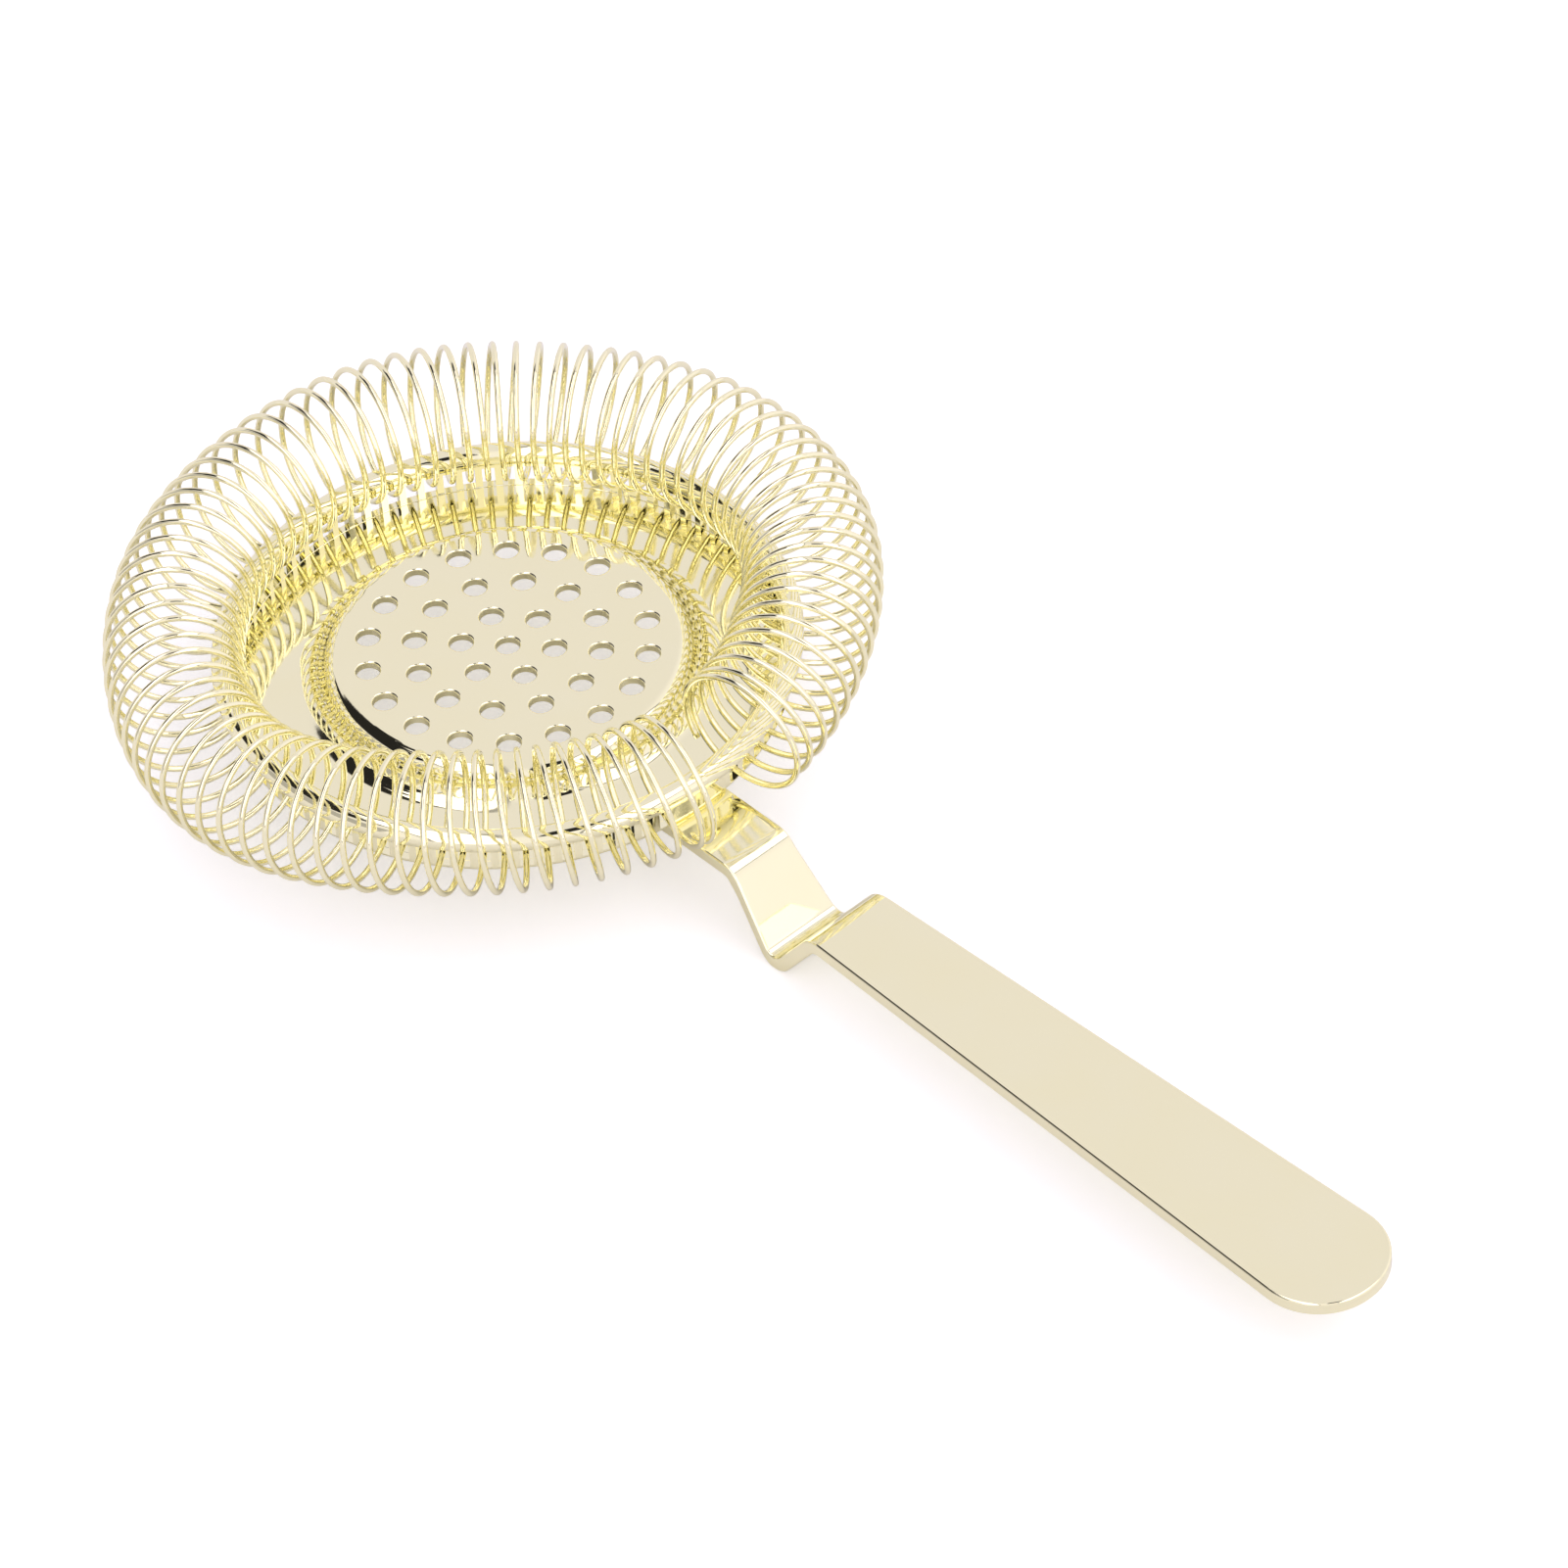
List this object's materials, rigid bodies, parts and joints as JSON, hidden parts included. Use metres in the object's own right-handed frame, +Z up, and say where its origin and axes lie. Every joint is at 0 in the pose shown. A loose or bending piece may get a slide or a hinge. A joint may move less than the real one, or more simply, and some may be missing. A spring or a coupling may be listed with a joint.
{
  "type": "hawthorne strainer",
  "caption": "Bar strainer: a perforated round plate with a slotted, beaded wall, a coil spring threaded round it, and a flat handle with a dip behind the rim.",
  "frame": {"origin": "centre of the perforated disc, on its top face", "axes": "+Z up out of the disc, +X along the handle towards its tip"},
  "size_m": [0.1975, 0.0971, 0.031],
  "materials": {
    "plate": "pale gold plating on stainless steel, satin disc, polished ring, wall and bead",
    "handle": "pale gold plating on stainless steel, satin top, polished edges and bends",
    "spring": "pale gold plating on stainless steel wire, polished"
  },
  "bodies": {
    "frame": {"strainer_plate": "plate", "handle_strip": "handle"},
    "spring": {"coil_spring": "spring"}
  },
  "joints": [
    {"name": "spring_play", "type": "hinge", "parent": "frame", "child": "spring", "pos_m": [0, 0, 0], "axis": [0, 0, 1], "range_deg": [-0.4, 0.4]}
  ]
}
